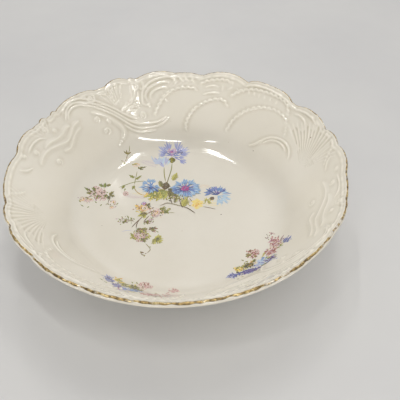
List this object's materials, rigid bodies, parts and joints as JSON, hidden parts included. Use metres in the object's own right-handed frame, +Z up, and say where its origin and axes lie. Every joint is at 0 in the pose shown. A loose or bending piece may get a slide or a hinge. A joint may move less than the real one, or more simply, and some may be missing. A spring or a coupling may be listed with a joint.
{
  "type": "serving bowl",
  "caption": "Round porcelain serving bowl with a lobed gilt rim, a scroll-relief wall, flower transfers inside and a foot ring.",
  "frame": {"origin": "middle of the bowl's footprint, on the surface that the foot ring stands on", "axes": "+Z up through the middle of the bowl, +Y towards the tall lobes behind the centre spray, +X to the right as seen from the side with the two small sprays"},
  "size_m": [0.2437, 0.2434, 0.0632],
  "materials": {
    "glazed_porcelain": "clear glossy glaze over warm white porcelain",
    "foot_porcelain": "glazed, with a bare fired edge where it stands",
    "gilding": "burnished gilding, rubbed thin",
    "centre_enamel": "glossy fired overglaze enamel",
    "left_enamel": "glossy fired overglaze enamel",
    "right_enamel": "glossy fired overglaze enamel"
  },
  "bodies": {
    "root": {"bowl_body": "glazed_porcelain", "foot_ring": "foot_porcelain", "gilt_rim": "gilding", "centre_spray_transfer": "centre_enamel", "left_spray_transfer": "left_enamel", "right_spray_transfer": "right_enamel"}
  },
  "joints": []
}
